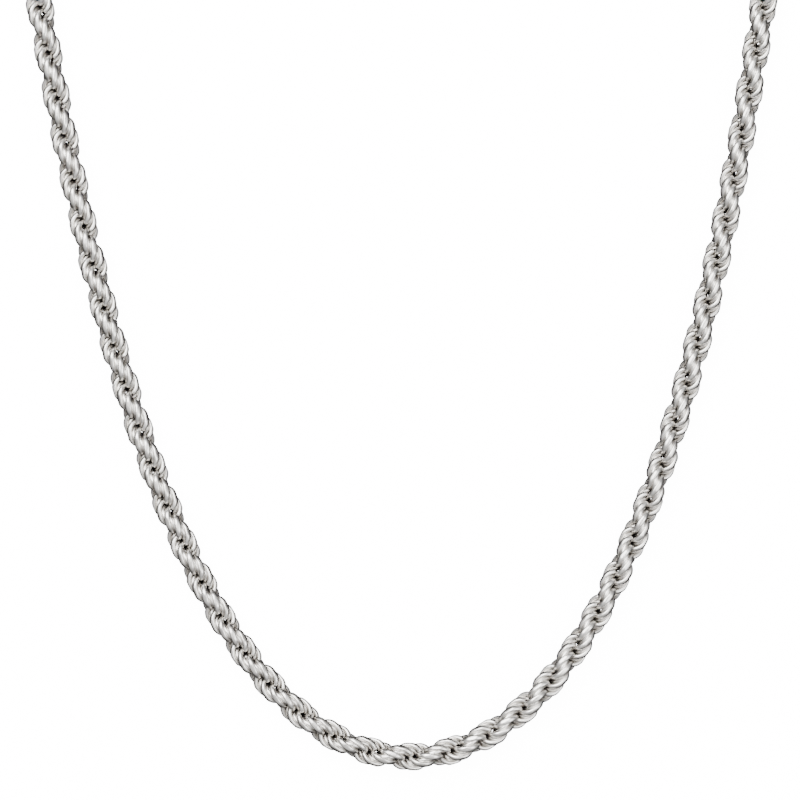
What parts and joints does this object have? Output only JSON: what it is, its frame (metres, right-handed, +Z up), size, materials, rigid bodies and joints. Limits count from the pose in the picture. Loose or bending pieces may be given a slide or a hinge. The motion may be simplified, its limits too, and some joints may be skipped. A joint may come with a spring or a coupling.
{
  "type": "rope chain necklace",
  "caption": "Two-strand rope chain of open wire links, laid flat in a U and unfastened, with turned end caps, jump rings, a lobster clasp and a ring for it.",
  "frame": {"origin": "middle of the laid-out necklace in plan, on the surface it lies on", "axes": "+X from the wearer's arm with the clasp to the arm with the end ring, +Y from the lowest point of the front towards the clasp, +Z up from the surface"},
  "size_m": [0.1181, 0.2089, 0.0047],
  "materials": {
    "silver": "polished, diamond-cut silver",
    "spring_steel": "plain spring steel"
  },
  "bodies": {
    "centre_run": {"centre_run": "silver"},
    "left_bend_01": {"left_bend_01": "silver"},
    "left_run_01": {"left_run_01": "silver"},
    "left_bend_02": {"left_bend_02": "silver"},
    "left_run_02": {"left_run_02": "silver"},
    "left_bend_03": {"left_bend_03": "silver"},
    "left_run_03": {"left_run_03": "silver"},
    "left_bend_04": {"left_bend_04": "silver"},
    "left_run_04": {"left_run_04": "silver"},
    "left_bend_05": {"left_bend_05": "silver"},
    "left_run_05": {"left_run_05": "silver"},
    "left_bend_06": {"left_bend_06": "silver"},
    "left_run_06": {"left_run_06": "silver"},
    "left_bend_07": {"left_bend_07": "silver"},
    "left_run_07": {"left_run_07": "silver"},
    "left_bend_08": {"left_bend_08": "silver"},
    "left_run_08": {"left_run_08": "silver"},
    "left_bend_09": {"left_bend_09": "silver"},
    "left_run_09": {"left_run_09": "silver"},
    "left_bend_10": {"left_bend_10": "silver"},
    "left_run_10": {"left_run_10": "silver"},
    "left_bend_11": {"left_bend_11": "silver"},
    "left_run_11": {"left_run_11": "silver"},
    "left_bend_12": {"left_bend_12": "silver"},
    "left_run_12": {"left_run_12": "silver", "left_end_cap": "silver"},
    "left_jump_ring": {"left_jump_ring": "silver"},
    "clasp": {"clasp_body": "silver", "clasp_pin": "silver", "clasp_spring": "spring_steel"},
    "clasp_lever": {"clasp_lever": "silver"},
    "right_bend_01": {"right_bend_01": "silver"},
    "right_run_01": {"right_run_01": "silver"},
    "right_bend_02": {"right_bend_02": "silver"},
    "right_run_02": {"right_run_02": "silver"},
    "right_bend_03": {"right_bend_03": "silver"},
    "right_run_03": {"right_run_03": "silver"},
    "right_bend_04": {"right_bend_04": "silver"},
    "right_run_04": {"right_run_04": "silver"},
    "right_bend_05": {"right_bend_05": "silver"},
    "right_run_05": {"right_run_05": "silver"},
    "right_bend_06": {"right_bend_06": "silver"},
    "right_run_06": {"right_run_06": "silver"},
    "right_bend_07": {"right_bend_07": "silver"},
    "right_run_07": {"right_run_07": "silver"},
    "right_bend_08": {"right_bend_08": "silver"},
    "right_run_08": {"right_run_08": "silver"},
    "right_bend_09": {"right_bend_09": "silver"},
    "right_run_09": {"right_run_09": "silver"},
    "right_bend_10": {"right_bend_10": "silver"},
    "right_run_10": {"right_run_10": "silver"},
    "right_bend_11": {"right_bend_11": "silver"},
    "right_run_11": {"right_run_11": "silver"},
    "right_bend_12": {"right_bend_12": "silver"},
    "right_run_12": {"right_run_12": "silver", "right_end_cap": "silver"},
    "right_jump_ring": {"right_jump_ring": "silver"},
    "end_ring": {"end_ring": "silver"}
  },
  "joints": [
    {"name": "left_sway_01", "type": "hinge", "parent": "centre_run", "child": "left_bend_01", "pos_m": [-0.00642, -0.10157, 0.00235], "axis": [0, 0, 1], "range_deg": [-20, 20], "deforming": ["left_bend_01"]},
    {"name": "left_lift_01", "type": "hinge", "parent": "left_bend_01", "child": "left_run_01", "pos_m": [-0.01027, -0.10005, 0.00235], "axis": [-0.4407, -0.8977, 0], "range_deg": [-20, 20]},
    {"name": "left_sway_02", "type": "hinge", "parent": "left_run_01", "child": "left_bend_02", "pos_m": [-0.0205, -0.0921, 0.00235], "axis": [0, 0, -1], "range_deg": [-20, 20], "deforming": ["left_bend_02"]},
    {"name": "left_lift_02", "type": "hinge", "parent": "left_bend_02", "child": "left_run_02", "pos_m": [-0.02317, -0.08894, 0.00235], "axis": [0.7886, 0.615, 0], "range_deg": [-20, 20]},
    {"name": "left_sway_03", "type": "hinge", "parent": "left_run_02", "child": "left_bend_03", "pos_m": [-0.03017, -0.07796, 0.00235], "axis": [0, 0, -1], "range_deg": [-20, 20], "deforming": ["left_bend_03"]},
    {"name": "left_lift_03", "type": "hinge", "parent": "left_bend_03", "child": "left_run_03", "pos_m": [-0.03203, -0.07427, 0.00235], "axis": [-0.9007, -0.4344, 0], "range_deg": [-20, 20]},
    {"name": "left_sway_04", "type": "hinge", "parent": "left_run_03", "child": "left_bend_04", "pos_m": [-0.03711, -0.06226, 0.00235], "axis": [0, 0, 1], "range_deg": [-20, 20], "deforming": ["left_bend_04"]},
    {"name": "left_lift_04", "type": "hinge", "parent": "left_bend_04", "child": "left_run_04", "pos_m": [-0.03851, -0.05838, 0.00235], "axis": [0.9441, 0.3296, 0], "range_deg": [-20, 20]},
    {"name": "left_sway_05", "type": "hinge", "parent": "left_run_04", "child": "left_bend_05", "pos_m": [-0.04245, -0.04595, 0.00235], "axis": [0, 0, 1], "range_deg": [-20, 20], "deforming": ["left_bend_05"]},
    {"name": "left_lift_05", "type": "hinge", "parent": "left_bend_05", "child": "left_run_05", "pos_m": [-0.04357, -0.04197, 0.00235], "axis": [-0.9646, -0.2638, 0], "range_deg": [-20, 20]},
    {"name": "left_sway_06", "type": "hinge", "parent": "left_run_05", "child": "left_bend_06", "pos_m": [-0.04677, -0.02933, 0.00235], "axis": [0, 0, -1], "range_deg": [-20, 20], "deforming": ["left_bend_06"]},
    {"name": "left_lift_06", "type": "hinge", "parent": "left_bend_06", "child": "left_run_06", "pos_m": [-0.04769, -0.0253, 0.00235], "axis": [0.9756, 0.2194, 0], "range_deg": [-20, 20]},
    {"name": "left_sway_07", "type": "hinge", "parent": "left_run_06", "child": "left_bend_07", "pos_m": [-0.05039, -0.01254, 0.00235], "axis": [0, 0, -1], "range_deg": [-20, 20], "deforming": ["left_bend_07"]},
    {"name": "left_lift_07", "type": "hinge", "parent": "left_bend_07", "child": "left_run_07", "pos_m": [-0.05117, -0.00849, 0.00235], "axis": [-0.9823, -0.1875, 0], "range_deg": [-20, 20]},
    {"name": "left_sway_08", "type": "hinge", "parent": "left_run_07", "child": "left_bend_08", "pos_m": [-0.05349, 0.00434, 0.00235], "axis": [0, 0, 1], "range_deg": [-20, 20], "deforming": ["left_bend_08"]},
    {"name": "left_lift_08", "type": "hinge", "parent": "left_bend_08", "child": "left_run_08", "pos_m": [-0.05418, 0.00842, 0.00235], "axis": [0.9865, 0.1636, 0], "range_deg": [-20, 20]},
    {"name": "left_sway_09", "type": "hinge", "parent": "left_run_08", "child": "left_bend_09", "pos_m": [-0.05601, 0.02133, 0.00235], "axis": [0, 0, 1], "range_deg": [-20, 20], "deforming": ["left_bend_09"]},
    {"name": "left_lift_09", "type": "hinge", "parent": "left_bend_09", "child": "left_run_09", "pos_m": [-0.05641, 0.02544, 0.00235], "axis": [-0.9963, -0.0859, 0], "range_deg": [-20, 20]},
    {"name": "left_sway_10", "type": "hinge", "parent": "left_run_09", "child": "left_bend_10", "pos_m": [-0.05708, 0.03846, 0.00235], "axis": [0, 0, -1], "range_deg": [-20, 20], "deforming": ["left_bend_10"]},
    {"name": "left_lift_10", "type": "hinge", "parent": "left_bend_10", "child": "left_run_10", "pos_m": [-0.05711, 0.04259, 0.00235], "axis": [1, -0.0052, 0], "range_deg": [-20, 20]},
    {"name": "left_sway_11", "type": "hinge", "parent": "left_run_10", "child": "left_bend_11", "pos_m": [-0.05659, 0.05562, 0.00235], "axis": [0, 0, -1], "range_deg": [-20, 20], "deforming": ["left_bend_11"]},
    {"name": "left_lift_11", "type": "hinge", "parent": "left_bend_11", "child": "left_run_11", "pos_m": [-0.05623, 0.05974, 0.00235], "axis": [-0.9953, 0.0963, 0], "range_deg": [-20, 20]},
    {"name": "left_sway_12", "type": "hinge", "parent": "left_run_11", "child": "left_bend_12", "pos_m": [-0.05453, 0.07266, 0.00235], "axis": [0, 0, 1], "range_deg": [-20, 20], "deforming": ["left_bend_12"]},
    {"name": "left_lift_12", "type": "hinge", "parent": "left_bend_12", "child": "left_run_12", "pos_m": [-0.0538, 0.07673, 0.00235], "axis": [0.9824, -0.1866, 0], "range_deg": [-20, 20]},
    {"name": "left_jump_ring_swing", "type": "hinge", "parent": "left_run_12", "child": "left_jump_ring", "pos_m": [-0.05038, 0.09169, 0.00235], "axis": [-0.9703, 0.2419, 0], "range_deg": [-60, 60]},
    {"name": "clasp_swing", "type": "hinge", "parent": "left_jump_ring", "child": "clasp", "pos_m": [-0.0497, 0.09441, 0.00235], "axis": [0, 0, 1], "range_deg": [-60, 60]},
    {"name": "lever_press", "type": "hinge", "parent": "clasp", "child": "clasp_lever", "pos_m": [-0.04549, 0.09904, 0.00235], "axis": [0, 0, 1], "range_deg": [0, 25], "stiffness_Nm_per_rad": 0.006, "springref_deg": -11.46},
    {"name": "right_sway_01", "type": "hinge", "parent": "centre_run", "child": "right_bend_01", "pos_m": [0.00642, -0.10157, 0.00235], "axis": [0, 0, 1], "range_deg": [-20, 20], "deforming": ["right_bend_01"]},
    {"name": "right_lift_01", "type": "hinge", "parent": "right_bend_01", "child": "right_run_01", "pos_m": [0.01027, -0.10005, 0.00235], "axis": [0.4407, -0.8977, 0], "range_deg": [-20, 20]},
    {"name": "right_sway_02", "type": "hinge", "parent": "right_run_01", "child": "right_bend_02", "pos_m": [0.0205, -0.0921, 0.00235], "axis": [0, 0, -1], "range_deg": [-20, 20], "deforming": ["right_bend_02"]},
    {"name": "right_lift_02", "type": "hinge", "parent": "right_bend_02", "child": "right_run_02", "pos_m": [0.02317, -0.08894, 0.00235], "axis": [-0.7886, 0.615, 0], "range_deg": [-20, 20]},
    {"name": "right_sway_03", "type": "hinge", "parent": "right_run_02", "child": "right_bend_03", "pos_m": [0.03017, -0.07796, 0.00235], "axis": [0, 0, -1], "range_deg": [-20, 20], "deforming": ["right_bend_03"]},
    {"name": "right_lift_03", "type": "hinge", "parent": "right_bend_03", "child": "right_run_03", "pos_m": [0.03203, -0.07427, 0.00235], "axis": [0.9007, -0.4344, 0], "range_deg": [-20, 20]},
    {"name": "right_sway_04", "type": "hinge", "parent": "right_run_03", "child": "right_bend_04", "pos_m": [0.03711, -0.06226, 0.00235], "axis": [0, 0, 1], "range_deg": [-20, 20], "deforming": ["right_bend_04"]},
    {"name": "right_lift_04", "type": "hinge", "parent": "right_bend_04", "child": "right_run_04", "pos_m": [0.03851, -0.05838, 0.00235], "axis": [-0.9441, 0.3296, 0], "range_deg": [-20, 20]},
    {"name": "right_sway_05", "type": "hinge", "parent": "right_run_04", "child": "right_bend_05", "pos_m": [0.04245, -0.04595, 0.00235], "axis": [0, 0, 1], "range_deg": [-20, 20], "deforming": ["right_bend_05"]},
    {"name": "right_lift_05", "type": "hinge", "parent": "right_bend_05", "child": "right_run_05", "pos_m": [0.04357, -0.04197, 0.00235], "axis": [0.9646, -0.2638, 0], "range_deg": [-20, 20]},
    {"name": "right_sway_06", "type": "hinge", "parent": "right_run_05", "child": "right_bend_06", "pos_m": [0.04677, -0.02933, 0.00235], "axis": [0, 0, -1], "range_deg": [-20, 20], "deforming": ["right_bend_06"]},
    {"name": "right_lift_06", "type": "hinge", "parent": "right_bend_06", "child": "right_run_06", "pos_m": [0.04769, -0.0253, 0.00235], "axis": [-0.9756, 0.2194, 0], "range_deg": [-20, 20]},
    {"name": "right_sway_07", "type": "hinge", "parent": "right_run_06", "child": "right_bend_07", "pos_m": [0.05039, -0.01254, 0.00235], "axis": [0, 0, -1], "range_deg": [-20, 20], "deforming": ["right_bend_07"]},
    {"name": "right_lift_07", "type": "hinge", "parent": "right_bend_07", "child": "right_run_07", "pos_m": [0.05117, -0.00849, 0.00235], "axis": [0.9823, -0.1875, 0], "range_deg": [-20, 20]},
    {"name": "right_sway_08", "type": "hinge", "parent": "right_run_07", "child": "right_bend_08", "pos_m": [0.05349, 0.00434, 0.00235], "axis": [0, 0, 1], "range_deg": [-20, 20], "deforming": ["right_bend_08"]},
    {"name": "right_lift_08", "type": "hinge", "parent": "right_bend_08", "child": "right_run_08", "pos_m": [0.05418, 0.00842, 0.00235], "axis": [-0.9865, 0.1636, 0], "range_deg": [-20, 20]},
    {"name": "right_sway_09", "type": "hinge", "parent": "right_run_08", "child": "right_bend_09", "pos_m": [0.05601, 0.02133, 0.00235], "axis": [0, 0, 1], "range_deg": [-20, 20], "deforming": ["right_bend_09"]},
    {"name": "right_lift_09", "type": "hinge", "parent": "right_bend_09", "child": "right_run_09", "pos_m": [0.05641, 0.02544, 0.00235], "axis": [0.9963, -0.0859, 0], "range_deg": [-20, 20]},
    {"name": "right_sway_10", "type": "hinge", "parent": "right_run_09", "child": "right_bend_10", "pos_m": [0.05708, 0.03846, 0.00235], "axis": [0, 0, -1], "range_deg": [-20, 20], "deforming": ["right_bend_10"]},
    {"name": "right_lift_10", "type": "hinge", "parent": "right_bend_10", "child": "right_run_10", "pos_m": [0.05711, 0.04259, 0.00235], "axis": [-1, -0.0052, 0], "range_deg": [-20, 20]},
    {"name": "right_sway_11", "type": "hinge", "parent": "right_run_10", "child": "right_bend_11", "pos_m": [0.05659, 0.05562, 0.00235], "axis": [0, 0, -1], "range_deg": [-20, 20], "deforming": ["right_bend_11"]},
    {"name": "right_lift_11", "type": "hinge", "parent": "right_bend_11", "child": "right_run_11", "pos_m": [0.05623, 0.05974, 0.00235], "axis": [0.9953, 0.0963, 0], "range_deg": [-20, 20]},
    {"name": "right_sway_12", "type": "hinge", "parent": "right_run_11", "child": "right_bend_12", "pos_m": [0.05453, 0.07266, 0.00235], "axis": [0, 0, 1], "range_deg": [-20, 20], "deforming": ["right_bend_12"]},
    {"name": "right_lift_12", "type": "hinge", "parent": "right_bend_12", "child": "right_run_12", "pos_m": [0.0538, 0.07673, 0.00235], "axis": [-0.9824, -0.1866, 0], "range_deg": [-20, 20]},
    {"name": "right_jump_ring_swing", "type": "hinge", "parent": "right_run_12", "child": "right_jump_ring", "pos_m": [0.05038, 0.09169, 0.00235], "axis": [-0.9703, -0.2419, 0], "range_deg": [-60, 60]},
    {"name": "end_ring_swing", "type": "hinge", "parent": "right_jump_ring", "child": "end_ring", "pos_m": [0.0497, 0.09441, 0.00235], "axis": [0, 0, 1], "range_deg": [-60, 60]}
  ]
}
